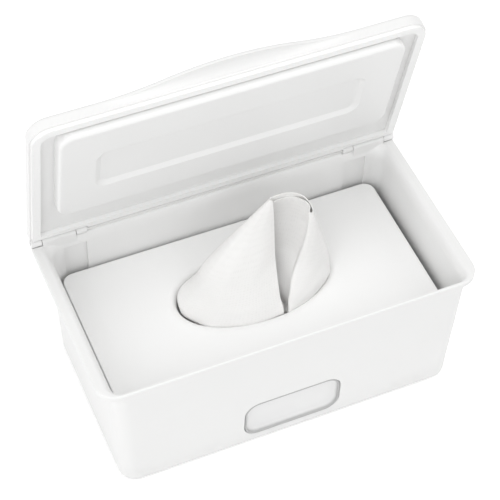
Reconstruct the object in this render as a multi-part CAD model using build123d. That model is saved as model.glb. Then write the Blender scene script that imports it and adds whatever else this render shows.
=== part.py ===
from build123d import *
import math
import os

# Countertop wipes dispenser, in millimetres: +X along its length, the front towards -Y, +Z up.
# The origin is the centre of the base on the surface that the feet rest on.
# The hinged lid is modelled closed and then opened about its hinge to the rest pose.

# ---------------------------------------------------------------- overall sizes
length = 240.0              # along X, over the carrying lips
width = 124.0               # along Y
rim_height = 95.0           # top of the tub above the resting surface
lid_rise = 10.3             # top of the closed lid above the rim
lid_open_angle = 78.0       # from closed, in the rest pose
overcut = 1.0               # cutting tools run this far past the faces that they cut

# ---------------------------------------------------------------- tub
wall = 2.4                  # tub wall
floor_thickness = 2.6
foot_proud = 1.0            # feet below the tub's underside
side_lip = 7.3              # carrying lip beyond the body, at the short sides
rear_lip = 2.0              # the same at the rear
lip_thickness = 3.4         # outer edge of the lip
lip_ledge = 0.8             # flat under the lip's outer edge
blend_height = 6.0          # concave blend under the lip
side_draft = 3.7            # how much each short side draws in from lip to base
front_draft = 0.8
rear_draft = 0.3
rim_front_corner = 13.0     # plan corners of the rim and lid
rim_rear_corner = 3.0
body_front_corner = 11.0    # plan corners of the tub body
body_rear_corner = 12.4
base_edge = 4.5             # rounding between the walls and the underside
rim_edge = 1.0              # rounding of the rim's outer edge
flare_height = 9.0          # rounded mouth inside the rim
side_flare = 4.6
rear_flare = 3.2
front_flare = 0.8
mouth_corner_share = 0.6    # rear corners of the mouth's edge against those below it

# ---------------------------------------------------------------- feet
foot_diameter = 14.0
foot_recess = 1.2           # depth of the pocket that holds a foot
foot_inset_x = 25.0         # centre of a foot inside the edges of the short and long sides
foot_inset_y = 15.0
foot_edge = 0.4
pocket_gap = 0.1            # radial gap round a foot in its pocket

# ---------------------------------------------------------------- hinge
hinge_inset = 1.0           # axis in front of the rear edge
hinge_rise = 2.0            # axis above the rim
knuckle_radius = 2.9
knuckle_gap = 0.4           # radial room round a knuckle, and beside it
pin_radius = 1.25
pin_inset = 0.2             # pin end inside the lid's side
knuckle_fit = 0.02          # pin in the lid's knuckles
running_fit = 0.05          # pin in the sleeve
sleeve_wall = 0.6
sleeve_fit = 0.02           # sleeve in the tub's barrel
outer_knuckle = 6.6         # lid knuckle beside the short side
barrel_length = 21.0        # tub barrel
inner_knuckle = 6.6
pedestal_depth = 7.0        # root of the barrel below the rim
hinge_slot = 2.0            # open slot between the lid and the tub's barrels
channel_start = 34.0        # channel in the rear wall under a barrel, from the short side's edge
channel_width = 14.6
channel_depth = 1.0
channel_foot = 45.0         # lower end of the channel above the floor

# ---------------------------------------------------------------- lid
skirt_gap = 2.4             # lower edge of the lid's skirt above the rim
rear_skirt_gap = 0.6        # the same at the rear, between the hinges
lid_wall = 2.2
lid_top_edge = 2.4          # rounding of the lid's top edge
thumb_reach = 10.0          # thumb lip beyond the front edge
thumb_half_width = 80.0
thumb_thickness = 3.0
thumb_edge = 0.9
scoop_height = 4.6          # concave underside of the thumb lip
panel_gap = 0.2             # inner panel inside the lid shell
panel_sheet = 2.0           # thickness of the inner panel
moat_step = 0.6             # floor of the moat above the panel's outer flange
moat_rear_corner = 1.0
plateau_side_margin = 15.0  # plateau inside the lid's edges
plateau_front_margin = 7.0
plateau_rear_margin = 34.0
plateau_drop = 4.5          # face of the plateau below the rim
plateau_corner = 9.0
plateau_edge = 2.2
recess_border_x = 22.0      # flat border round the recess
recess_border_y = 23.0
recess_depth = 1.8
recess_slope = 3.4
recess_corner = 8.0
gasket_inset = 1.0          # outer edge of the seal inside the lid's front and short sides
gasket_rear_inset = 4.2     # the same inside its rear edge, in front of the hinges
gasket_width = 5.0
seal_gap = 0.05             # seal above the rim when the lid is closed
bead_width = 1.6            # bead of the seal, set in a groove of the panel
bead_height = 1.2
bead_gap = 0.1
bead_offset = 0.8           # bead off the middle of the seal's width
pedestal_room = 0.3         # lid above the root of the tub's barrels

# ---------------------------------------------------------------- weighted plate
plate_side_gap = 1.6        # plate inside the tub's short walls, where they are closest
plate_front_gap = 1.4       # plate behind the window's parts
plate_rear_gap = 1.6        # plate in front of the rear wall
plate_corner = 7.0
plate_depth_below_rim = 30.1
plate_height = 10.0
plate_skin = 2.2
plate_edge = 0.8
slot_x = 1.5                # centre of the oval opening
slot_y = 6.5
slot_length = 97.0
slot_width = 53.0
dish_length = 108.0         # outer edge of the dished border
dish_width = 67.0
dish_depth = 5.0
cover_sheet = 1.6           # cover under the plate
cover_gap = 0.15
weight_inset = 8.0          # steel weight inside the plate's short side
weight_border = 7.5         # and inside the walls of its long sides
weight_screw_gap = 2.5      # weight beside the screws' bosses
weight_room = 2.0           # room above the weight
weight_corner = 4.0
boss_diameter = 6.0
screw_diameter = 2.5
screw_head_diameter = 4.6
screw_head_height = 1.3
screw_length = 5.5
screw_fit = 0.05
screw_room = 0.5            # hole beyond the screw's tip
screw_x = 50.0              # from the oval opening's centre
screw_inset = 11.0          # from the plate's long sides

# ---------------------------------------------------------------- window
window_length = 63.2
window_height = 31.6
window_centre_z = 25.5
window_corner = 10.0
window_line = 0.45          # open line round the pane
pane_rim = 1.0              # flush border of the pane
pane_recess = 2.2           # depth of the pane's dished face
pane_slope = 3.2            # width of its rounded wall
pane_sheet = 1.3
seal_thickness = 0.6
seal_width = 2.6
seat_margin = 3.2           # flat seat round the window, inside the drafted wall
pane_flange = 1.2
retainer_sheet = 1.2
retainer_overlap = 1.6      # retainer over the pane's flange
retainer_reach = 6.0        # retainer beyond the window, to its posts
retainer_margin = 1.0       # retainer above and below the seal
retainer_corner = 5.0
post_radius = 1.2
post_gap = 0.1

# ---------------------------------------------------------------- wipes
stack_side_gap = 10.6       # stack inside the tub's short walls
stack_front_gap = 5.0       # stack behind the window's parts
stack_rear_gap = 6.3        # stack in front of the rear wall
stack_corner = 9.0
stack_edge = 3.0
soft_gap = 0.3              # clear space round soft solids
wipe_above_rim = 15.0       # top of the wipe above the tub's rim
wipe_slot_gap = 2.0         # wipe inside the oval opening
wipe_neck_share = 0.82      # neck of the wipe against its size in the opening
wipe_thickness = 2.4        # doubled cloth
wipe_lean_x = 30.5          # top of the wipe beside and behind the opening's centre
wipe_lean_y = 12.0
wipe_split_x = 10.5         # foot of the open front, beside the opening's centre
wipe_split_rise = 2.0       # and above the bottom of the dished border

# ---------------------------------------------------------------- derived places
half_length = length / 2
front = -width / 2
rear = width / 2
tub_bottom = foot_proud
floor_top = tub_bottom + floor_thickness
lip_bottom = rim_height - lip_thickness
blend_bottom = lip_bottom - blend_height
body_half = half_length - side_lip
body_rear = rear - rear_lip
inner_half = body_half - side_draft - wall      # inside the tub, where it is narrowest
inner_rear = body_rear - rear_draft - wall
hinge_y = rear - hinge_inset
hinge_z = rim_height + hinge_rise
lid_bottom = rim_height + skirt_gap
lid_top = rim_height + lid_rise
plate_top = rim_height - plate_depth_below_rim
plate_bottom = plate_top - plate_height
wipe_peak = rim_height + wipe_above_rim


# ---------------------------------------------------------------- shared shapes
def plan_wire(half_x, y_front, y_rear, r_front, r_rear, z):
    """Rounded rectangle in plan, with one radius in front and one at the rear."""
    corners = [
        ((half_x - r_front, y_front + r_front), r_front, -90),
        ((half_x - r_rear, y_rear - r_rear), r_rear, 0),
        ((-half_x + r_rear, y_rear - r_rear), r_rear, 90),
        ((-half_x + r_front, y_front + r_front), r_front, 180),
    ]
    arcs = [CenterArc((x, y, z), r, start, 90) for (x, y), r, start in corners]
    edges = []
    for i, arc in enumerate(arcs):
        edges += [arc, Line(arc @ 1, arcs[(i + 1) % 4] @ 0)]
    return Wire(edges)


def slab(half_x, y_front, y_rear, r_front, r_rear, z_low, z_high):
    face = Face(plan_wire(half_x, y_front, y_rear, r_front, r_rear, z_low))
    return extrude(face, z_high - z_low, dir=(0, 0, 1))


def box_between(low, high):
    size = [b - a for a, b in zip(low, high)]
    centre = [(a + b) / 2 for a, b in zip(low, high)]
    return Pos(*centre) * Box(*size)


def rod_x(radius, x_low, x_high, y, z):
    return Pos((x_low + x_high) / 2, y, z) * Rot(0, 90, 0) * Cylinder(radius, x_high - x_low)


def quarter(reach, rise, steps=6, first=0):
    """Points of a quarter ellipse that starts upright and ends level: (outwards, upwards)."""
    turns = [math.radians(90 * i / steps) for i in range(first, steps + 1)]
    return [(reach * (1 - math.cos(t)), rise * math.sin(t)) for t in turns]


def mix(a, b, share):
    return a + (b - a) * share


def both_sides(shape):
    return [shape, mirror(shape, about=Plane.YZ)]


# ---------------------------------------------------------------- tub
def body_share(z):
    """0 at the underside of the tub, 1 where the blend under the lip starts."""
    return (z - tub_bottom) / (blend_bottom - tub_bottom)


def body_front_at(z):
    return front + front_draft * (1 - body_share(z))


def body_wire(z, inset=0.0):
    share = body_share(z)
    side = body_half - side_draft * (1 - share) - inset
    y_front = body_front_at(z) + inset
    y_rear = body_rear - rear_draft * (1 - share) - inset
    return plan_wire(side, y_front, y_rear, body_front_corner - inset, body_rear_corner - inset, z)


def tub_outside():
    body = Solid.make_loft([body_wire(tub_bottom), body_wire(blend_bottom)], True)
    body = fillet(body.edges().group_by(Axis.Z)[0], base_edge)
    reach = side_lip - lip_ledge
    rings = []
    for out, up in quarter(reach, blend_height):
        share = out / reach
        rings.append(
            plan_wire(
                body_half + out,
                front,
                body_rear + (rear_lip - lip_ledge / 2) * share,
                mix(body_front_corner, rim_front_corner, share),
                mix(body_rear_corner, rim_rear_corner, share),
                blend_bottom + up,
            )
        )
    blend = Solid.make_loft(rings)
    lip = slab(half_length, front, rear, rim_front_corner, rim_rear_corner, lip_bottom, rim_height)
    lip = fillet(lip.edges().group_by(Axis.Z)[-1], rim_edge)
    return body + blend + lip


def tub_inside():
    """Cutting tools for the tub's hollow, from the floor up through the rounded mouth."""
    mouth_bottom = rim_height - flare_height
    wires = [body_wire(z, wall) for z in (floor_top, blend_bottom)]
    hollow = Solid.make_loft(wires, True)
    side = body_half - wall
    y_front = front + wall
    y_rear = body_rear - wall
    r_front = body_front_corner - wall
    r_rear = body_rear_corner - wall
    neck_top = max(mouth_bottom, blend_bottom) + overcut / 2
    neck = slab(side, y_front, y_rear, r_front, r_rear, blend_bottom, neck_top)
    rings = []
    for out, up in quarter(1.0, flare_height):
        rings.append(
            plan_wire(
                side + side_flare * out,
                y_front - front_flare * out,
                y_rear + rear_flare * out,
                r_front,
                mix(r_rear, r_rear * mouth_corner_share, out),
                mouth_bottom + up,
            )
        )
    mouth = Solid.make_loft(rings)
    above = slab(
        side + side_flare,
        y_front - front_flare,
        y_rear + rear_flare,
        r_front,
        r_rear * mouth_corner_share,
        rim_height,
        rim_height + overcut,
    )
    return [hollow, neck, mouth, above]


outer_knuckle_x = (half_length - outer_knuckle, half_length)
barrel_x = (outer_knuckle_x[0] - knuckle_gap - barrel_length, outer_knuckle_x[0] - knuckle_gap)
inner_knuckle_x = (barrel_x[0] - knuckle_gap - inner_knuckle, barrel_x[0] - knuckle_gap)
sleeve_radius = pin_radius + running_fit + sleeve_wall
clear_radius = knuckle_radius + knuckle_gap
slot_radius = knuckle_radius + hinge_slot


def through_barrel(radius):
    return rod_x(radius, barrel_x[0] - overcut, barrel_x[1] + overcut, hinge_y, hinge_z)


def foot_places():
    x_out = half_length - foot_inset_x
    y_out = rear - foot_inset_y
    for side_name, x in (("left", -x_out), ("right", x_out)):
        for end_name, y in (("front", -y_out), ("rear", y_out)):
            yield f"foot_{end_name}_{side_name}", x, y


window_face_y = body_front_at(window_centre_z)
window_inner_y = window_face_y + wall


def window_wire(grow, y):
    """Rounded rectangle in the window's plane, grown by a margin all round."""
    plane = Plane(origin=(0, y, window_centre_z), x_dir=(1, 0, 0), z_dir=(0, -1, 0))
    shape = RectangleRounded(
        window_length + 2 * grow, window_height + 2 * grow, window_corner + grow
    )
    return plane * shape


def window_plug(grow, y_low, y_high):
    return extrude(window_wire(grow, y_low), y_high - y_low, dir=(0, 1, 0))


flange_front = window_inner_y + seal_thickness
flange_back = flange_front + pane_flange
retainer_back = flange_back + retainer_sheet


def post_places():
    x = window_length / 2 + retainer_reach / 2
    z = window_height / 2 - window_corner / 2
    return [(sx * x, window_centre_z + sz * z) for sx in (-1, 1) for sz in (-1, 1)]


def rod_y(radius, x, z, y_low, y_high):
    return Pos(x, (y_low + y_high) / 2, z) * Rot(90, 0, 0) * Cylinder(radius, y_high - y_low)


def make_tub():
    tub = tub_outside()
    channel_x = half_length - channel_start
    channels = both_sides(
        box_between(
            (channel_x, inner_rear - overcut, floor_top + channel_foot),
            (
                channel_x + channel_width,
                body_rear - wall + channel_depth,
                rim_height - pedestal_depth,
            ),
        )
    )
    pedestals = both_sides(
        box_between(
            (barrel_x[0], hinge_y - knuckle_radius, rim_height - pedestal_depth),
            (barrel_x[1], rear, hinge_z),
        )
    )
    for tool in tub_inside():
        tub -= tool
    tub -= channels
    tub += pedestals
    tub += both_sides(rod_x(knuckle_radius, *barrel_x, hinge_y, hinge_z))
    notch = [
        rod_x(clear_radius, barrel_x[1], half_length + overcut, hinge_y, hinge_z),
        rod_x(clear_radius, inner_knuckle_x[0] - knuckle_gap, barrel_x[0], hinge_y, hinge_z),
        through_barrel(sleeve_radius + sleeve_fit),
    ]
    for tool in notch:
        tub -= both_sides(tool)
    for _, x, y in foot_places():
        pocket = Cylinder(foot_diameter / 2 + pocket_gap, 2 * foot_recess)
        tub -= Pos(x, y, tub_bottom) * pocket
    tub += window_plug(seat_margin, window_inner_y - wall / 2, window_inner_y)
    tub -= window_plug(seat_margin, window_inner_y, window_inner_y + wall)
    tub -= window_plug(0, front - overcut, window_inner_y + overcut)
    for x, z in post_places():
        tub += rod_y(post_radius, x, z, window_inner_y - wall / 2, retainer_back)
    return tub


def make_foot(x, y):
    height = foot_proud + foot_recess
    foot = Pos(x, y, height / 2) * Cylinder(foot_diameter / 2, height)
    return fillet(foot.edges().group_by(Axis.Z)[0], foot_edge)


# ---------------------------------------------------------------- window
def make_window_pane():
    plug = window_plug(-window_line, window_face_y, flange_front)
    flange = window_plug(seal_width, flange_front, flange_back)
    backing = window_plug(-pane_rim, flange_front, window_face_y + pane_recess + pane_sheet)
    dish = [
        window_wire(-window_line - pane_rim - inwards, window_face_y + deep)
        for inwards, deep in quarter(pane_slope, pane_recess, steps=5)
    ]
    return plug + flange + backing - loft(dish)


def make_window_seal():
    ring = window_plug(seal_width, window_inner_y, flange_front)
    return ring - window_plug(window_line, window_inner_y - overcut, flange_front + overcut)


def make_window_retainer():
    half_x = window_length / 2 + retainer_reach
    half_z = window_height / 2 + seal_width + retainer_margin
    frame = box_between(
        (-half_x, flange_back, window_centre_z - half_z),
        (half_x, retainer_back, window_centre_z + half_z),
    )
    frame = fillet(frame.edges().filter_by(Axis.Y), retainer_corner)
    y_low, y_high = flange_back - overcut, retainer_back + overcut
    frame -= window_plug(seal_width - retainer_overlap, y_low, y_high)
    for x, z in post_places():
        frame -= rod_y(post_radius + post_gap, x, z, y_low, y_high)
    return frame


# ---------------------------------------------------------------- lid, modelled closed
def thumb_outline(reach, z):
    """Bell-shaped edge of the thumb lip: three tangent arcs, closed behind the skirt."""
    quarter_x = thumb_half_width / 2
    quarter_y = reach / 2
    radius = (quarter_x**2 + quarter_y**2) / (2 * quarter_y)
    turn = math.degrees(math.asin(quarter_x / radius))
    left = CenterArc((-thumb_half_width, front - radius, z), radius, 90, -turn)
    crown = CenterArc((0, front - reach + radius, z), radius, -90 - turn, 2 * turn)
    right = CenterArc((thumb_half_width, front - radius, z), radius, 90 + turn, -turn)
    inner = front + lid_wall / 2
    back = [
        Line(right @ 1, (thumb_half_width, inner, z)),
        Line((thumb_half_width, inner, z), (-thumb_half_width, inner, z)),
        Line((-thumb_half_width, inner, z), left @ 0),
    ]
    return Wire([left, crown, right] + back)


def hinge_clearance():
    """Room round the tub's barrels and their pedestals."""
    low, high = barrel_x[0] - knuckle_gap, barrel_x[1] + knuckle_gap
    barrel = rod_x(slot_radius, low, high, hinge_y, hinge_z)
    pedestal = box_between(
        (low, hinge_y - slot_radius, rim_height - pedestal_depth),
        (high, rear + overcut, hinge_z + pedestal_room),
    )
    return barrel + pedestal


def knuckle_room():
    """Room behind the panel and the seal for all the hinge's knuckles."""
    low, high = inner_knuckle_x[0] - knuckle_gap, half_length + overcut
    room = rod_x(slot_radius, low, high, hinge_y, hinge_z)
    block = box_between(
        (low, hinge_y - slot_radius, rim_height - overcut), (high, rear + overcut, hinge_z)
    )
    return room + block


def make_lid_shell():
    rim = (rim_front_corner, rim_rear_corner)
    shell = slab(half_length, front, rear, *rim, lid_bottom, lid_top)
    thumb_bottom = lid_top - thumb_thickness
    face = Face(thumb_outline(thumb_reach, thumb_bottom))
    shell += extrude(face, thumb_thickness, dir=(0, 0, 1))
    shell = fillet(shell.edges().group_by(Axis.Z)[-1], lid_top_edge)
    tips = quarter(1.0, scoop_height, steps=6, first=1)
    rings = [
        thumb_outline((thumb_reach - thumb_edge) * out, thumb_bottom - scoop_height + up)
        for out, up in tips
    ]
    shell += Solid.make_loft(rings)
    inner = (rim_front_corner - lid_wall, max(rim_rear_corner - lid_wall, 0.5))
    shell -= slab(
        half_length - lid_wall,
        front + lid_wall,
        rear - lid_wall,
        *inner,
        lid_bottom - overcut,
        lid_top - lid_wall,
    )
    rear_half = inner_knuckle_x[0] - knuckle_gap
    shell += box_between(
        (-rear_half, rear - lid_wall, rim_height + rear_skirt_gap),
        (rear_half, rear, lid_bottom + overcut),
    )
    shell -= both_sides(hinge_clearance())
    for span in (outer_knuckle_x, inner_knuckle_x):
        shell += both_sides(rod_x(knuckle_radius, *span, hinge_y, hinge_z))
        ends = (span[0] - overcut, span[1] + overcut)
        shell -= both_sides(rod_x(pin_radius + knuckle_fit, *ends, hinge_y, hinge_z))
    return shell


bead_inset = (gasket_width - bead_width) / 2 + bead_offset
plateau_half = half_length - plateau_side_margin
plateau_front = front + plateau_front_margin
plateau_rear = rear - plateau_rear_margin
gasket_rear_shift = gasket_rear_inset - gasket_inset


def rim_ring(inset, ring_width, z_low, z_high):
    """Band that follows the rim's plan, at an inset from the lid's edge."""
    def outline(step):
        return slab(
            half_length - step,
            front + step,
            rear - step - gasket_rear_shift,
            max(rim_front_corner - step, 1.0),
            max(rim_rear_corner - step, 1.0),
            z_low,
            z_high,
        )

    return outline(inset) - outline(inset + ring_width)


def make_lid_panel():
    edge = lid_wall + panel_gap
    corners = (rim_front_corner - edge, max(rim_rear_corner - edge, 0.5))
    moat = lid_bottom + moat_step
    sheet = slab(
        half_length - edge, front + edge, rear - edge, *corners, lid_bottom, moat + panel_sheet
    )
    flange_width = gasket_inset + gasket_width - edge
    step = edge + flange_width
    sheet -= slab(
        half_length - step,
        front + step,
        rear - step - gasket_rear_shift,
        rim_front_corner - step,
        moat_rear_corner,
        lid_bottom - overcut,
        moat,
    )
    face_z = rim_height - plateau_drop
    plateau = slab(
        plateau_half,
        plateau_front,
        plateau_rear,
        plateau_corner,
        plateau_corner,
        face_z,
        moat + panel_sheet / 2,
    )
    plateau = fillet(plateau.edges().group_by(Axis.Z)[0], plateau_edge)
    panel = sheet + plateau
    panel -= slab(
        plateau_half - panel_sheet,
        plateau_front + panel_sheet,
        plateau_rear - panel_sheet,
        plateau_corner - panel_sheet,
        plateau_corner - panel_sheet,
        face_z + recess_depth + panel_sheet,
        moat + panel_sheet + overcut,
    )
    recess = [
        plan_wire(
            plateau_half - recess_border_x - slope,
            plateau_front + recess_border_y + slope,
            plateau_rear - recess_border_y - slope,
            recess_corner - slope,
            recess_corner - slope,
            z,
        )
        for slope, z in ((0, face_z), (recess_slope, face_z + recess_depth))
    ]
    panel -= Solid.make_loft(recess, True)
    bead_start = gasket_inset + bead_inset
    panel -= rim_ring(
        bead_start - bead_gap,
        bead_width + 2 * bead_gap,
        lid_bottom - overcut,
        lid_bottom + bead_height + bead_gap,
    )
    panel -= both_sides(knuckle_room())
    return panel


def make_lid_gasket():
    ring = rim_ring(gasket_inset, gasket_width, rim_height + seal_gap, lid_bottom)
    root = (lid_bottom - overcut / 2, lid_bottom + bead_height)
    ring += rim_ring(gasket_inset + bead_inset, bead_width, *root)
    return ring - both_sides(knuckle_room())


def make_hinge_pin():
    return rod_x(pin_radius, inner_knuckle_x[0] + pin_inset, half_length - pin_inset, hinge_y, hinge_z)


def make_hinge_sleeve():
    sleeve = rod_x(sleeve_radius, *barrel_x, hinge_y, hinge_z)
    return sleeve - through_barrel(pin_radius + running_fit)


def opened(shape):
    """From the closed lid to the rest pose."""
    return shape.rotate(Axis((0, hinge_y, hinge_z), (-1, 0, 0)), lid_open_angle)


# ---------------------------------------------------------------- weighted plate
plate_half = inner_half - plate_side_gap
plate_front = retainer_back + plate_front_gap
plate_rear = inner_rear - plate_rear_gap
cover_top = plate_bottom + cover_sheet
dish_bottom = plate_top - dish_depth
ceiling = plate_top - plate_skin


def screw_places():
    rows = (plate_front + screw_inset, plate_rear - screw_inset)
    return [(slot_x + side * screw_x, y) for side in (-1, 1) for y in rows]


def oval_prism(grow, z_low, z_high):
    oval = Pos(slot_x, slot_y, z_low) * Ellipse(slot_length / 2 + grow, slot_width / 2 + grow)
    return extrude(oval, z_high - z_low, dir=(0, 0, 1))


def dish_room():
    """The rounded mouth of the oval opening: upright at its throat, level at the plate's face."""
    rings = []
    for out, up in quarter(1.0, dish_depth):
        half_x = mix(slot_length, dish_length, out) / 2
        half_y = mix(slot_width, dish_width, out) / 2
        rings.append(Pos(slot_x, slot_y, dish_bottom + up) * Ellipse(half_x, half_y))
    return loft(rings)


def plate_slab(inset, z_low, z_high):
    corner = plate_corner - inset
    return slab(
        plate_half - inset,
        plate_front + inset,
        plate_rear - inset,
        corner,
        corner,
        z_low,
        z_high,
    )


def make_plate():
    plate = plate_slab(0, plate_bottom, plate_top)
    plate = fillet(plate.edges().group_by(Axis.Z)[-1], plate_edge)
    plate -= plate_slab(plate_skin, plate_bottom - overcut, ceiling)
    collar = oval_prism(plate_skin, cover_top, plate_top)
    funnel = [
        Pos(slot_x, slot_y, z) * Ellipse(size_x / 2 + grow, size_y / 2 + grow)
        for size_x, size_y, grow, z in (
            (slot_length, slot_width, plate_skin, dish_bottom - plate_skin / 2),
            (dish_length, dish_width, plate_skin / 2, plate_top),
        )
    ]
    plate += collar + loft(funnel, ruled=True)
    for x, y in screw_places():
        plate += Pos(x, y, (cover_top + ceiling) / 2) * Cylinder(
            boss_diameter / 2, ceiling - cover_top
        )
        depth = screw_length + screw_room
        plate -= Pos(x, y, plate_bottom + screw_head_height + depth / 2) * Cylinder(
            screw_diameter / 2 + screw_fit, depth
        )
    plate -= oval_prism(0, plate_bottom - overcut, dish_bottom + overcut / 2)
    return plate - dish_room()


def make_plate_cover():
    cover = plate_slab(plate_skin + cover_gap, plate_bottom, cover_top)
    cover -= oval_prism(0, plate_bottom - overcut, cover_top + overcut)
    for x, y in screw_places():
        cover -= Pos(x, y, plate_bottom) * Cylinder(
            screw_head_diameter / 2 + screw_fit, 2 * screw_head_height
        )
        cover -= Pos(x, y, plate_bottom) * Cylinder(
            screw_diameter / 2 + screw_fit, 4 * cover_sheet
        )
    return cover


def make_weight():
    x_low = slot_x + screw_x + boss_diameter / 2 + weight_screw_gap
    border = plate_skin + weight_border
    block = box_between(
        (x_low, plate_front + border, cover_top),
        (plate_half - weight_inset, plate_rear - border, ceiling - weight_room),
    )
    return fillet(block.edges().filter_by(Axis.Z), weight_corner)


def make_screws():
    screws = []
    for x, y in screw_places():
        shank = Cylinder(screw_diameter / 2, screw_length)
        shank = Pos(x, y, plate_bottom + screw_head_height + screw_length / 2) * shank
        head = Cylinder(screw_head_diameter / 2, screw_head_height)
        head = Pos(x, y, plate_bottom + screw_head_height / 2) * head
        screws.append(shank + head)
    return Compound(children=screws)


# ---------------------------------------------------------------- wipes
def make_wipe_stack():
    z_low, z_high = floor_top + soft_gap, plate_bottom - soft_gap
    block = slab(
        inner_half - stack_side_gap,
        retainer_back + stack_front_gap,
        inner_rear - stack_rear_gap,
        stack_corner,
        stack_corner,
        z_low,
        z_high,
    )
    ends = block.edges().group_by(Axis.Z)
    return fillet(ends[0] + ends[-1], stack_edge)


peak_x = slot_x + wipe_lean_x
peak_y = slot_y + wipe_lean_y


def wipe_cone(inset, top):
    """The outside of the popped-up cloth, or its inside when drawn in by its thickness."""
    half_x = slot_length / 2 - wipe_slot_gap
    half_y = slot_width / 2 - wipe_slot_gap
    rise = wipe_peak - dish_bottom
    levels = [  # share of the rise, share of the lean, shares of the half sizes along X and Y
        (0.02, 0.00, 1.00, 1.00),
        (0.40, 0.24, 0.83, 0.80),
        (0.72, 0.62, 0.52, 0.55),
        (1.00, 1.00, 0.23, 0.44),
    ]
    neck = wipe_neck_share
    places = [(plate_bottom + soft_gap, 0.0, neck, neck)]
    places += [(dish_bottom + up * rise, *rest) for up, *rest in levels]
    rings = []
    for z, lean, share_x, share_y in places:
        centre = Pos(mix(slot_x, peak_x, lean), mix(slot_y, peak_y, lean), z)
        rings.append(centre * Ellipse(half_x * share_x - inset, half_y * share_y - inset))
    cone = loft(rings)
    if top:
        cone += extrude(rings[-1], top, dir=(0, 0, 1))
    return cone


def make_popped_wipe():
    """A hollow cone of cloth that leans back to the right, open down its front."""
    half_y = slot_width / 2 - wipe_slot_gap
    foot = (slot_x + wipe_split_x, slot_y - half_y)
    low = [(-2.0, 1.5), (1.0, 3.0), (3.5, 1.0), (2.0, -8.0), (-4.0, -8.0)]
    top = [(-8.0, 7.0), (0.0, 8.0), (9.5, -5.0), (2.0, -40.0), (-28.0, -30.0)]
    z_low, z_high = dish_bottom + wipe_split_rise, wipe_peak + 3 * overcut
    wedge = [
        Face(Wire.make_polygon([(foot[0] + x, foot[1] + y, z_low) for x, y in low])),
        Face(Wire.make_polygon([(peak_x + x, peak_y + y, z_high) for x, y in top])),
    ]
    cloth = wipe_cone(0, 0)
    for tool in (loft(wedge, ruled=True), wipe_cone(wipe_thickness, overcut)):
        cloth -= tool
    return cloth


# ---------------------------------------------------------------- write the parts
parts = {
    "tub": make_tub(),
    "lid_shell": opened(make_lid_shell()),
    "lid_inner_panel": opened(make_lid_panel()),
    "lid_gasket": opened(make_lid_gasket()),
    "hinge_pin_right": opened(make_hinge_pin()),
    "hinge_pin_left": opened(mirror(make_hinge_pin(), about=Plane.YZ)),
    "hinge_sleeve_right": make_hinge_sleeve(),
    "hinge_sleeve_left": mirror(make_hinge_sleeve(), about=Plane.YZ),
    "plate_shell": make_plate(),
    "plate_base_cover": make_plate_cover(),
    "plate_weight_right": make_weight(),
    "plate_weight_left": mirror(make_weight(), about=Plane.YZ),
    "plate_screws": make_screws(),
    "window_pane": make_window_pane(),
    "window_seal": make_window_seal(),
    "window_retainer": make_window_retainer(),
    "wipe_stack": make_wipe_stack(),
    "popped_wipe": make_popped_wipe(),
}
for name, x, y in foot_places():
    parts[name] = make_foot(x, y)

os.makedirs("parts", exist_ok=True)
for name, shape in parts.items():
    export_step(shape, f"parts/{name}.step")
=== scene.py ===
import math

import bpy
import numpy as np
from mathutils import Matrix, Vector


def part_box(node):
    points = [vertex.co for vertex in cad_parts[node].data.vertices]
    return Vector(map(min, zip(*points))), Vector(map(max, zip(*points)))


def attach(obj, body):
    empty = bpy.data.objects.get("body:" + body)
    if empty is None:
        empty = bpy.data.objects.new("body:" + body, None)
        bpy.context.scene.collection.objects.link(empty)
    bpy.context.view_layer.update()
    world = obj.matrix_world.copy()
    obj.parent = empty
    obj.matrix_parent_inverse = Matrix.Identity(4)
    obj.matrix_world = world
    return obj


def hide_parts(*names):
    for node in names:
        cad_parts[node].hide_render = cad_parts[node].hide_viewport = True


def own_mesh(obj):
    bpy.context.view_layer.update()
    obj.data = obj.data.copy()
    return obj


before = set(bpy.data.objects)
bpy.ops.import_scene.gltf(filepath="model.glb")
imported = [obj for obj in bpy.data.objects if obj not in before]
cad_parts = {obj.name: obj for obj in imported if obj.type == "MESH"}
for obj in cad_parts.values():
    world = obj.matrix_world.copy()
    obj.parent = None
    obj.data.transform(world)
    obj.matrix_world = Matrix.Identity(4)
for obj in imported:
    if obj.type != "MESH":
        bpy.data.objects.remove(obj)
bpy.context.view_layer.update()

# Countertop wipes dispenser with its lid open, in metres: +X along its length, the front towards -Y.
mm = 0.001


# ---------------------------------------------------------------- places taken from the frame
stack_low, stack_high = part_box("wipe_stack")
pane_face_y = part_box("window_pane")[0][1]
pane_full_shade_depth = 0.6 * mm    # painted shade on the wall of the pane's dish is full down to this far behind its front
pane_recess = 2.2 * mm       # depth of the pane's dish


# ---------------------------------------------------------------- material nodes
dust_height = 22 * mm       # dust settles on the plastics up to this height
coat_chip_colour = (0.5, 0.48, 0.45)


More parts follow.
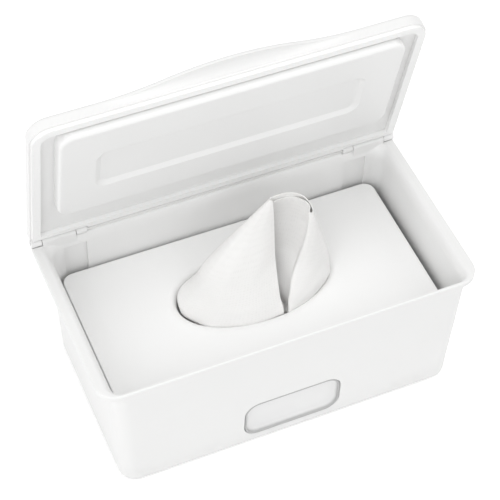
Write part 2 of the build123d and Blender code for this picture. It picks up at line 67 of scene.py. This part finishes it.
class Wire:
    """One output of a material's node; arithmetic on it adds Math nodes."""

    def __init__(self, socket):
        self.socket = socket

    def node(self, kind, settings=None, sockets=None, out=0):
        """Adds a node beside this one: its settings first, then the values or wires of its sockets."""
        tree = self.socket.id_data
        new = tree.nodes.new("ShaderNode" + kind)
        for name, value in (settings or {}).items():
            setattr(new, name, value)
        for name, value in (sockets or {}).items():
            if isinstance(value, Wire):
                tree.links.new(value.socket, new.inputs[name])
            else:
                new.inputs[name].default_value = value
        return Wire(new.outputs[out])

    def maths(self, operation, *values):
        """A Math node on the given values."""
        return self.node("Math", {"operation": operation}, dict(enumerate(values)))

    def __add__(self, other):
        return self.maths("ADD", self, other)

    def __sub__(self, other):
        return self.maths("SUBTRACT", self, other)

    def __rsub__(self, other):
        return self.maths("SUBTRACT", other, self)

    def __mul__(self, other):
        return self.maths("MULTIPLY", self, other)

    __radd__ = __add__
    __rmul__ = __mul__

    def above(self, low, high):
        """0 below low, 1 above high, smooth between."""
        return self.node(
            "MapRange",
            {"interpolation_type": "SMOOTHSTEP"},
            {"Value": self, "From Min": low, "From Max": high},
        )

    def part(self, axis):
        """One of X, Y and Z of a vector."""
        return self.node("SeparateXYZ", {}, {"Vector": self}, "XYZ".index(axis))

    def noise(self, scale, detail=2.0, roughness=0.5):
        sockets = {"Vector": self, "Scale": scale, "Detail": detail, "Roughness": roughness}
        return self.node("TexNoise", {}, sockets)

    def stretched(self, along, turn=(0.0, 0.0, 0.0)):
        """The place, scaled along each axis after a turn in radians."""
        return self.node("Mapping", {}, {"Vector": self, "Rotation": turn, "Scale": along})

    def between(self, colour_low, colour_high):
        """A colour mixed by this value."""
        sockets = {0: self, 6: (*colour_low, 1), 7: (*colour_high, 1)}
        return self.node("Mix", {"data_type": "RGBA"}, sockets, 2)

    def bump(self, distance, strength=1.0):
        return self.node("Bump", {}, {"Height": self, "Distance": distance, "Strength": strength})


def begin(name, coordinates="Object"):
    """A new material: returns it, its shader and its place wire."""
    material = bpy.data.materials.new(name)
    material.use_nodes = True
    shader = material.node_tree.nodes["Principled BSDF"]
    source = material.node_tree.nodes.new("ShaderNodeTexCoord")
    return material, shader, Wire(source.outputs[coordinates])


def connect(shader, **wires):
    """Feeds the shader's sockets: base_color=wire feeds Base Color, and a number sets the socket."""
    for name, value in wires.items():
        socket = shader.inputs["IOR" if name == "ior" else name.replace("_", " ").title()]
        if isinstance(value, Wire):
            socket.id_data.links.new(value.socket, socket)
        else:
            socket.default_value = value


def shade(colour, share):
    """The colour made darker or lighter by a share, never above white."""
    return [min(1.0, c * share) for c in colour]


def moulded_plastic(name, colour, roughness, grain=0.5, scuffs=1.0):
    """Satin moulded plastic: spark-eroded grain, slight flow, fine rubbed scratches, dust low down."""
    material, shader, place = begin(name)
    cloud = place.noise(scale=11.0, detail=3.0)
    flow = place.stretched((9.0, 30.0, 26.0)).noise(scale=1.0, detail=2.0)
    spark = place.noise(scale=2100.0, detail=2.0, roughness=0.6)
    pores = place.noise(scale=5200.0, detail=1.0)
    streaks = place.stretched((240.0, 3200.0, 900.0), (0.3, 0.2, 0.5)).noise(scale=1.0, detail=2.0)
    scratch = streaks.above(0.66, 0.74)
    rub = place.noise(scale=38.0, detail=2.0).above(0.52, 0.68)
    worn = scratch * rub * scuffs
    low = 1 - place.part("Z").above(0.0, dust_height)
    dust = low * place.noise(scale=90.0, detail=4.0).above(0.35, 0.75)
    tone = cloud * 0.55 + flow * 0.25 + spark * 0.2 - worn * 0.5 - dust * 0.6
    connect(
        shader,
        base_color=tone.between(shade(colour, 0.955), shade(colour, 1.035)),
        roughness=roughness + cloud * 0.09 + worn * 0.16 + dust * 0.2 - spark * 0.05,
        normal=(spark * grain + pores * (grain * 0.5) + flow * 1.6 - worn * 0.4).bump(
            distance=0.00003, strength=0.55
        ),
        ior=1.49,
    )
    return material


def silicone(name, colour, roughness):
    """Soft silicone: a faint skin, tool lines along it and a little dust."""
    material, shader, place = begin(name)
    cloud = place.noise(scale=26.0, detail=3.0)
    skin = place.noise(scale=1500.0, detail=3.0, roughness=0.65)
    lines = place.stretched((60.0, 2400.0, 2400.0)).noise(scale=1.0, detail=1.0)
    specks = place.noise(scale=420.0, detail=1.0).above(0.7, 0.76)
    connect(
        shader,
        base_color=(cloud * 0.7 + skin * 0.3 - specks * 0.5).between(
            shade(colour, 0.95), shade(colour, 1.03)
        ),
        roughness=roughness + skin * 0.12 + cloud * 0.08 + specks * 0.1,
        normal=(skin + lines * 0.5).bump(distance=0.00002, strength=0.6),
        ior=1.42,
    )
    return material


def drawn_steel(name, colour, roughness):
    """Bright drawn steel: fine lines round the pin and small stains."""
    material, shader, place = begin(name)
    lines = place.stretched((6000.0, 260.0, 260.0)).noise(scale=1.0, detail=2.0)
    stain = place.noise(scale=300.0, detail=3.0).above(0.55, 0.8)
    connect(
        shader,
        base_color=(lines * 0.5 + stain * 0.5).between(colour, shade(colour, 0.72)),
        metallic=1.0,
        roughness=roughness + lines * 0.16 + stain * 0.14,
        normal=lines.bump(distance=0.00001, strength=0.5),
    )
    return material


def coated_steel(name, colour):
    """Dark coated slab: orange-peel coat with a few chips."""
    material, shader, place = begin(name)
    peel = place.noise(scale=750.0, detail=2.0)
    cloud = place.noise(scale=40.0, detail=3.0)
    chips = place.noise(scale=330.0, detail=2.0).above(0.72, 0.75)
    connect(
        shader,
        base_color=(chips + cloud * 0.2).between(colour, coat_chip_colour),
        roughness=0.42 + cloud * 0.14 + chips * 0.2,
        normal=(peel - chips * 1.5).bump(distance=0.00005, strength=0.6),
    )
    return material


def frosted_plastic(name, colour, painted_shade_colour):
    """Clear plastic with a satin face: fine frosting, faint flow lines, small scratches, and painted shade,
    a grey on the wall of its dish that fades out towards the dish's floor.
    """
    material, shader, place = begin(name)
    frost = place.noise(scale=3400.0, detail=2.0, roughness=0.6)
    cloud = place.noise(scale=30.0, detail=2.0)
    flow = place.stretched((28.0, 28.0, 120.0)).noise(scale=1.0, detail=2.0)
    streaks = place.stretched((900.0, 900.0, 130.0), (0.0, 0.5, 0.0)).noise(scale=1.0, detail=2.0)
    scratch = streaks.above(0.68, 0.74)
    # Painted shade: grey near the pane's front, on the wall of its dish, fading to the pane's own colour at
    # the dish's floor.
    face = place.part("Y").above(pane_face_y + pane_full_shade_depth, pane_face_y + pane_recess)
    tone = face * (0.82 + cloud * 0.12 + flow * 0.06)
    connect(
        shader,
        base_color=tone.between(painted_shade_colour, shade(colour, 1.03)),
        roughness=0.34 + frost * 0.12 + scratch * 0.15,
        normal=(frost * 0.8 + flow * 1.2 - scratch * 0.4).bump(distance=0.00002, strength=0.5),
        ior=1.5,
        transmission_weight=0.06,
    )
    return material


def damp_cloth(name, colour):
    """Damp non-woven cloth: crossed fibres, rows of small embossed pits, soft translucent body."""
    material, shader, place = begin(name, "UV")
    fibre_a = place.stretched((190.0, 1700.0, 1.0), (0.0, 0.0, 0.35)).noise(scale=1.0, detail=3.0)
    fibre_b = place.stretched((1500.0, 170.0, 1.0), (0.0, 0.0, 0.2)).noise(scale=1.0, detail=3.0)
    pits = place.node(
        "TexVoronoi", {"distance": "EUCLIDEAN"}, {"Vector": place, "Scale": 620.0, "Randomness": 0.25}
    ).above(0.0, 0.42)
    cloud = place.noise(scale=34.0, detail=3.0)
    damp = place.noise(scale=13.0, detail=2.0).above(0.45, 0.7)
    cloth = fibre_a * 0.5 + fibre_b * 0.5
    connect(
        shader,
        base_color=(cloth * 0.5 + cloud * 0.3 + pits * 0.3 - damp * 0.2).between(
            shade(colour, 0.9), shade(colour, 1.06)
        ),
        roughness=0.88 - damp * 0.22 - cloth * 0.1,
        normal=(cloth * 0.7 + pits * 0.5).bump(distance=0.00012, strength=0.5),
        subsurface_weight=0.2,
        subsurface_radius=(1.0, 0.95, 0.9),
        subsurface_scale=0.002,
        sheen_weight=0.15,
    )
    through = place.node("BsdfTranslucent", {}, {"Color": (*shade(colour, 1.05), 1)})
    body = Wire(shader.outputs["BSDF"])
    light_through = 0.08 + cloth * 0.08
    mixed = place.node("MixShader", {}, {"Fac": light_through, 1: body, 2: through})
    output = material.node_tree.nodes["Material Output"]
    material.node_tree.links.new(mixed.socket, output.inputs["Surface"])
    return material


# ---------------------------------------------------------------- finishes of the carried parts
# Painted light: the lid, its inner panel and most of all the plate are given lighter whites than the tub,
# making up for light that these faces get too little of.
finishes = {
    "tub": moulded_plastic("tub_satin_white", (0.80, 0.80, 0.795), roughness=0.36),
    "lid": moulded_plastic(
        "lid_satin_white_and_painted_light", (0.81, 0.81, 0.805), roughness=0.34, grain=0.45, scuffs=0.8
    ),
    "panel": moulded_plastic(
        "panel_satin_white_and_painted_light", (0.815, 0.815, 0.81), roughness=0.36, grain=0.35, scuffs=0.5
    ),
    # Painted light: the plate's white, well above the tub's, stands in for light on its top.
    "plate": moulded_plastic(
        "plate_satin_white_and_painted_light", (0.875, 0.875, 0.87), roughness=0.36, grain=0.6, scuffs=1.2
    ),
    "cover": moulded_plastic(
        "cover_matte_white", (0.78, 0.78, 0.775), roughness=0.46, grain=0.9, scuffs=0.6
    ),
    "retainer": moulded_plastic(
        "retainer_matte_white", (0.76, 0.76, 0.755), roughness=0.46, grain=0.8, scuffs=0.4
    ),
    "sleeve": moulded_plastic(
        "sleeve_nylon", (0.70, 0.70, 0.68), roughness=0.44, grain=0.3, scuffs=0.6
    ),
    # The window's second, grey colour is painted shade on the wall of its dish.
    "window": frosted_plastic(
        "window_frosted", (0.85, 0.85, 0.848), painted_shade_colour=(0.46, 0.46, 0.46)
    ),
    "gasket": silicone("gasket_silicone", (0.88, 0.88, 0.875), roughness=0.42),
    "window_seal": silicone("window_seal_rubber", (0.22, 0.22, 0.22), roughness=0.55),
    "foot": silicone("foot_silicone", (0.62, 0.62, 0.61), roughness=0.62),
    "pin": drawn_steel("pin_drawn_steel", (0.56, 0.56, 0.57), roughness=0.26),
    "screw": drawn_steel("screw_zinc_plate", (0.5, 0.5, 0.51), roughness=0.34),
    "weight": coated_steel("weight_coated_steel", (0.10, 0.11, 0.12)),
    "cloth": damp_cloth("wipe_cloth", (0.91, 0.903, 0.89)),
}
finish_of_node = {
    "tub": "tub",
    "lid_shell": "lid",
    "lid_inner_panel": "panel",
    "lid_gasket": "gasket",
    "plate_shell": "plate",
    "plate_base_cover": "cover",
    "plate_screws": "screw",
    "window_pane": "window",
    "window_seal": "window_seal",
    "window_retainer": "retainer",
}
for side in ("left", "right"):
    finish_of_node["hinge_pin_" + side] = "pin"
    finish_of_node["hinge_sleeve_" + side] = "sleeve"
    finish_of_node["plate_weight_" + side] = "weight"
    for end in ("front", "rear"):
        finish_of_node[f"foot_{end}_{side}"] = "foot"
for node, finish in finish_of_node.items():
    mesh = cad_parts[node].data
    mesh.materials.clear()
    mesh.materials.append(finishes[finish])


# ---------------------------------------------------------------- shared modelling steps
def deselect():
    """Leaves nothing selected, out of edit mode."""
    if bpy.context.object and bpy.context.object.mode != "OBJECT":
        bpy.ops.object.mode_set(mode="OBJECT")
    bpy.ops.object.select_all(action="DESELECT")


def alone(piece):
    """Selects one piece only and makes it active."""
    deselect()
    piece.select_set(True)
    bpy.context.view_layer.objects.active = piece


def apply_modifier(piece, kind, **settings):
    """Adds a modifier with its settings and applies it."""
    alone(piece)
    modifier = piece.modifiers.new(kind.title(), kind)
    for name, value in settings.items():
        setattr(modifier, name, value)
    bpy.ops.object.modifier_apply(modifier=modifier.name)


def settle(piece, angle):
    """Puts the piece's place into its mesh and shades it smooth up to an angle."""
    alone(piece)
    bpy.ops.object.transform_apply(location=True, rotation=True, scale=True)
    bpy.ops.object.shade_smooth_by_angle(angle=math.radians(angle))


def mesh_piece(name, points, faces, finish):
    """A new piece from its points and faces, in one of the finishes."""
    mesh = bpy.data.meshes.new(name)
    mesh.from_pydata([tuple(p) for p in points], [], faces)
    piece = bpy.data.objects.new(name, mesh)
    bpy.context.collection.objects.link(piece)
    mesh.materials.append(finishes[finish])
    return piece


# ---------------------------------------------------------------- popped-up wipe
# Horizontal sections of the cornet by height, millimetres in plan. Each is one open line: it starts
# hidden behind the front panel, crosses the open front, turns round the rolled fold, the right side,
# the back and the left side, and ends at the front panel's free edge.
wipe_sections = [
    (53, [(-6, 3), (3, 2.5), (12, -0.5), (16.5, -6.5), (14, -11.2), (18, -12), (28, -9), (37, -1),
         (36, 13), (17, 23), (-10, 23), (-30, 16), (-35.5, 6), (-31, -2), (-24, -8), (-7, -13),
         (9.6, -10.5)]),
    (59, [(-9, 4), (3, 3.5), (13.6, -0.5), (18.6, -10), (14.6, -17.2), (18.6, -17.6), (31, -13.4),
         (44.5, -3.5), (43.5, 14), (20, 28), (-12, 28.5), (-37, 19), (-44.4, 6), (-38.4, -5.4),
         (-30.5, -12.4), (-9, -18.9), (11.2, -17.9)]),
    (62.5, [(-8, 7), (4, 6.5), (15, 2.5), (20.4, -9), (15.4, -17.4), (19.2, -18.6), (32, -14.8),
         (46.5, -4.5), (46, 12.5), (22, 28.5), (-13, 29), (-38, 19.5), (-46, 5), (-38, -5.6),
         (-30.5, -13), (-9, -19.2), (12, -17)]),
    (66, [(-7, 12), (5, 11), (17.4, 7), (22.4, -5), (16.8, -14), (21.4, -16.6), (34.5, -13),
         (48.3, -4), (46.5, 13), (23, 29.5), (-10, 30), (-38.6, 20.6), (-45, 8), (-36, -2),
         (-26.5, -9.2), (-6, -14.2), (13, -8.8)]),
    (69, [(-6, 16), (6, 15), (19.4, 11), (24.2, -2), (18.8, -11.2), (23.6, -14), (36, -11),
         (48.9, -3.4), (46.2, 13.8), (23.5, 29.8), (-8, 30.2), (-31, 22), (-36.4, 10.4), (-30.2, 1.6),
         (-21.5, -5.6), (-3.8, -8.4), (14.2, -4)]),
    (74, [(-4, 21), (8, 20), (22.4, 16), (27.8, 4), (22.8, -5.4), (28, -8.2), (39, -6.2), (49, -0.6),
         (45.8, 15.6), (24.6, 30.6), (-5, 30.4), (-26, 22.8), (-30, 12.6), (-25.6, 5), (-17.5, 0.2),
         (0, -1.4), (16.2, 4.2)]),
    (80, [(-2, 25.6), (10, 24.8), (26, 21), (33, 10), (28.8, 0.8), (33.4, -2.4), (42, -2.4), (49, 3),
         (45, 18), (26, 31.5), (-1, 30.8), (-20.4, 23.8), (-23.6, 15.2), (-19.4, 8.8), (-12, 5.4),
         (4, 5.2), (18, 11)]),
    (95, [(8, 29.8), (18.5, 30.2), (32.5, 27.2), (40, 15), (35.6, 6.2), (39.4, 4), (43.5, 5.2),
         (46, 10), (43.5, 23), (30, 32), (13, 31.6), (2.4, 28), (0.2, 23.8), (2.6, 21), (7, 19.6),
         (14.5, 19.8), (21.5, 21.7)]),
    (110, [(24.2, 30), (28.6, 30.4), (36.6, 28.6), (41.8, 17.8), (39.8, 11.8), (41.2, 10.8),
         (42.4, 13), (43, 18), (41.2, 25.2), (36, 29.8), (29.5, 31.2), (23.6, 30.8), (21.9, 30),
         (21.4, 29.3), (21.5, 28.8), (22.2, 28.5), (23, 28.4)]),
]
wipe_columns = 204           # faces along a section
wipe_rows = 108              # faces up the cloth
cloth_thickness = 0.55 * mm
inner_layer_drop = 3.4 * mm  # top edge of the inner layer below that of the outer one
inner_layer_share = 0.17     # how much of a section's line the inner layer takes
inner_layer_step = 3         # how steeply that drop sets in along the line
slack = 0.42 * mm            # height of the soft waves in the cloth
cloth_waves = (              # waves along the section and up the cloth, their phase and their share
    (3.0, 1.2, 0.3, 0.40),
    (5.0, -1.7, 1.1, 0.30),
    (9.0, 2.6, 2.3, 0.18),
    (14.0, -4.1, 0.7, 0.12),
)
foot_calm = 4                # how fast the waves grow from the foot up
edge_calm = 6                # how fast they fade towards the top edge
edge_waves = 0.25            # what is left of them at the edge
pattern_width = 0.23         # metres of woven pattern along a section
pattern_height = 0.07        # and up the cloth
no_length = 1e-12            # keeps a normal of length zero from being divided by zero
cloth_smooth_angle = 60.0


def smooth_line(points, count):
    """Points evenly spaced in parameter along a Catmull-Rom curve through the given points."""
    points = np.asarray(points, float)
    padded = np.vstack([2 * points[0] - points[1], points, 2 * points[-1] - points[-2]])
    out = []
    for t in np.linspace(0, len(points) - 1, count):
        i = min(int(t), len(points) - 2)
        f = t - i
        a, b, c, d = padded[i : i + 4]
        out.append(
            0.5 * (2 * b + (c - a) * f + (2 * a - 5 * b + 4 * c - d) * f**2 + (3 * b - a - 3 * c + d) * f**3)
        )
    return np.array(out)


def soft_waves(u, v):
    """Slack of damp cloth: a few long slanting waves, none at the foot."""
    wave = 0.0
    for turns_u, turns_v, phase, share in cloth_waves:
        wave += share * math.sin(2 * math.pi * (turns_u * u + turns_v * v) + phase)
    return wave * min(1.0, foot_calm * v) * min(1.0, edge_calm * (1 - v) + edge_waves)


def make_wipe():
    """The cloth as a curved sheet through its sections, then waved and given its thickness."""
    rings = [
        np.column_stack([smooth_line(line, wipe_columns + 1), np.full(wipe_columns + 1, z)])
        for z, line in wipe_sections
    ]
    columns = [smooth_line([ring[i] for ring in rings], wipe_rows + 1) for i in range(wipe_columns + 1)]
    grid = np.array(columns) * mm
    across = np.gradient(grid, axis=0)
    upwards = np.gradient(grid, axis=1)
    normal = np.cross(across, upwards)
    normal /= np.linalg.norm(normal, axis=2, keepdims=True) + no_length
    for i in range(wipe_columns + 1):
        u = i / wipe_columns
        inner = min(1.0, inner_layer_step * max(0.0, 1 - u / inner_layer_share))
        for j in range(wipe_rows + 1):
            v = j / wipe_rows
            grid[i, j] += normal[i, j] * slack * soft_waves(u, v)
            grid[i, j, 2] -= inner_layer_drop * inner * v**4
    points = grid.reshape(-1, 3)
    rows = wipe_rows + 1
    faces = []
    for i in range(wipe_columns):
        for j in range(wipe_rows):
            a = i * rows + j
            faces.append((a, a + rows, a + rows + 1, a + 1))
    piece = mesh_piece("popped_up_wipe", points, faces, "cloth")
    uv = piece.data.uv_layers.new(name="cloth")
    for loop in piece.data.loops:
        i, j = divmod(loop.vertex_index, rows)
        uv.data[loop.index].uv = (pattern_width * i / wipe_columns, pattern_height * j / wipe_rows)
    apply_modifier(piece, "SOLIDIFY", thickness=cloth_thickness, offset=0.0)
    settle(piece, cloth_smooth_angle)
    return piece


wipe = make_wipe()
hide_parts("popped_wipe")
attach(wipe, "wipe")
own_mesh(wipe)


# ---------------------------------------------------------------- stack of folded wipes
layer_count = 24
layer_gap = 0.15 * mm
layer_edge = 0.9 * mm        # rounding of a layer's edges
layer_edge_steps = 4
layer_askew = (0.2, 1.6)     # each side of a layer lies this far in, in millimetres
layer_seed = 7
stack_smooth_angle = 50.0


def make_stack():
    """Folded wipes laid one on another, each a soft slab a little askew."""
    low, high = Vector(stack_low), Vector(stack_high)
    step = (high.z - low.z) / layer_count
    rng = np.random.default_rng(layer_seed)
    layers = []
    for i in range(layer_count):
        inset = rng.uniform(*layer_askew, 4) * mm
        left, right = low.x + inset[0], high.x - inset[1]
        near, far = low.y + inset[2], high.y - inset[3]
        deselect()
        bpy.ops.mesh.primitive_cube_add(
            size=1, location=((left + right) / 2, (near + far) / 2, low.z + step * (i + 0.5))
        )
        layer = bpy.context.object
        layer.scale = (right - left, far - near, step - layer_gap)
        bpy.ops.object.transform_apply(location=True, rotation=True, scale=True)
        apply_modifier(layer, "BEVEL", width=layer_edge, segments=layer_edge_steps, limit_method="ANGLE")
        layers.append(layer)
    deselect()
    for layer in layers:
        layer.select_set(True)
    bpy.context.view_layer.objects.active = layers[0]
    bpy.ops.object.join()
    stack = bpy.context.object
    stack.name = "folded_wipes"
    stack.data.name = "folded_wipes"
    stack.data.materials.clear()
    stack.data.materials.append(finishes["cloth"])
    settle(stack, stack_smooth_angle)
    return stack


stack = make_stack()
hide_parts("wipe_stack")
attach(stack, "tub")
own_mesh(stack)


# ---------------------------------------------------------------- floor, light and camera
floor_size = 6.0
floor_tones = ((0.86, 0.86, 0.86), (0.9, 0.9, 0.9))
floor_glow = 0.3             # added to the floor's own colour where it is seen as background
ambient = 0.60               # strength of the white surroundings on the object
lamp_aim = (0, 0, 0.06)
lamps = [                    # name, place, width and power
    ("key_lamp", (-1.0, -0.8, 1.05), 1.2, 6.8),
    ("front_lamp", (0.3, -1.5, 0.62), 1.0, 2.2),
    ("right_lamp", (1.2, -0.5, 0.95), 1.0, 3.4),
    ("overhead_lamp", (0.15, -0.1, 1.55), 1.0, 5.5),
    ("left_lamp", (-1.4, 0.0, 0.5), 1.0, 3.2),
]
camera_azimuth = math.radians(-24.83)
camera_elevation = math.radians(50.55)
camera_roll = math.radians(2.15)
camera_distance = 1.05396
camera_target = Vector((0.00916, 0.02828, 0.06935))
camera_lens = 122.95
sensor_width = 36.0


def seen_directly(tree):
    """1 for rays from the camera and for those that a gloss or clear plastic sends on."""
    rays = tree.nodes.new("ShaderNodeLightPath")
    seen = Wire(rays.outputs["Is Camera Ray"])
    seen = seen.maths("MAXIMUM", seen, Wire(rays.outputs["Is Glossy Ray"]))
    return seen.maths("MAXIMUM", seen, Wire(rays.outputs["Is Transmission Ray"]))


def make_floor():
    """A plain pale floor that shows near white and keeps the shadow."""
    deselect()
    bpy.ops.mesh.primitive_plane_add(size=floor_size, location=(0, 0, 0))
    floor = bpy.context.object
    floor.name = "floor"
    material, shader, place = begin("floor_paper")
    connect(
        shader,
        base_color=place.noise(scale=5.0, detail=3.0).between(*floor_tones),
        roughness=0.9,
        emission_color=(1, 1, 1, 1),
        emission_strength=seen_directly(material.node_tree) * floor_glow,
    )
    floor.data.materials.append(material)


def make_world():
    """Soft white surroundings: plain white where they are seen, weaker as light."""
    world = bpy.data.worlds.new("soft_white")
    bpy.context.scene.world = world
    world.use_nodes = True
    back = world.node_tree.nodes["Background"]
    back.inputs["Color"].default_value = (1, 1, 1, 1)
    strength = ambient + seen_directly(world.node_tree) * (1 - ambient)
    world.node_tree.links.new(strength.socket, back.inputs["Strength"])


def make_lamp(name, place, width, power):
    """A round soft lamp that looks at the object."""
    lamp = bpy.data.lights.new(name, "AREA")
    lamp.shape = "DISK"
    lamp.size = width
    lamp.energy = power
    holder = bpy.data.objects.new(name, lamp)
    bpy.context.collection.objects.link(holder)
    holder.location = place
    holder.rotation_mode = "QUATERNION"
    holder.rotation_quaternion = (Vector(lamp_aim) - Vector(place)).to_track_quat("-Z", "Y")


def make_camera():
    """The photograph's view: azimuth, elevation and roll about the target."""
    camera = bpy.data.objects.new("camera", bpy.data.cameras.new("camera"))
    bpy.context.collection.objects.link(camera)
    camera.data.lens = camera_lens
    camera.data.sensor_width = sensor_width
    back = Vector(
        (
            math.sin(camera_azimuth) * math.cos(camera_elevation),
            -math.cos(camera_azimuth) * math.cos(camera_elevation),
            math.sin(camera_elevation),
        )
    )
    x = Vector((0, 0, 1)).cross(back).normalized()
    y = back.cross(x)
    turn = Matrix.Rotation(camera_roll, 3, back)
    axes = Matrix((turn @ x, turn @ y, back)).transposed()
    camera.matrix_world = Matrix.Translation(camera_target + back * camera_distance) @ axes.to_4x4()
    bpy.context.scene.camera = camera


make_floor()
make_world()
for lamp in lamps:
    make_lamp(*lamp)
make_camera()
bpy.context.scene.view_settings.view_transform = "Standard"
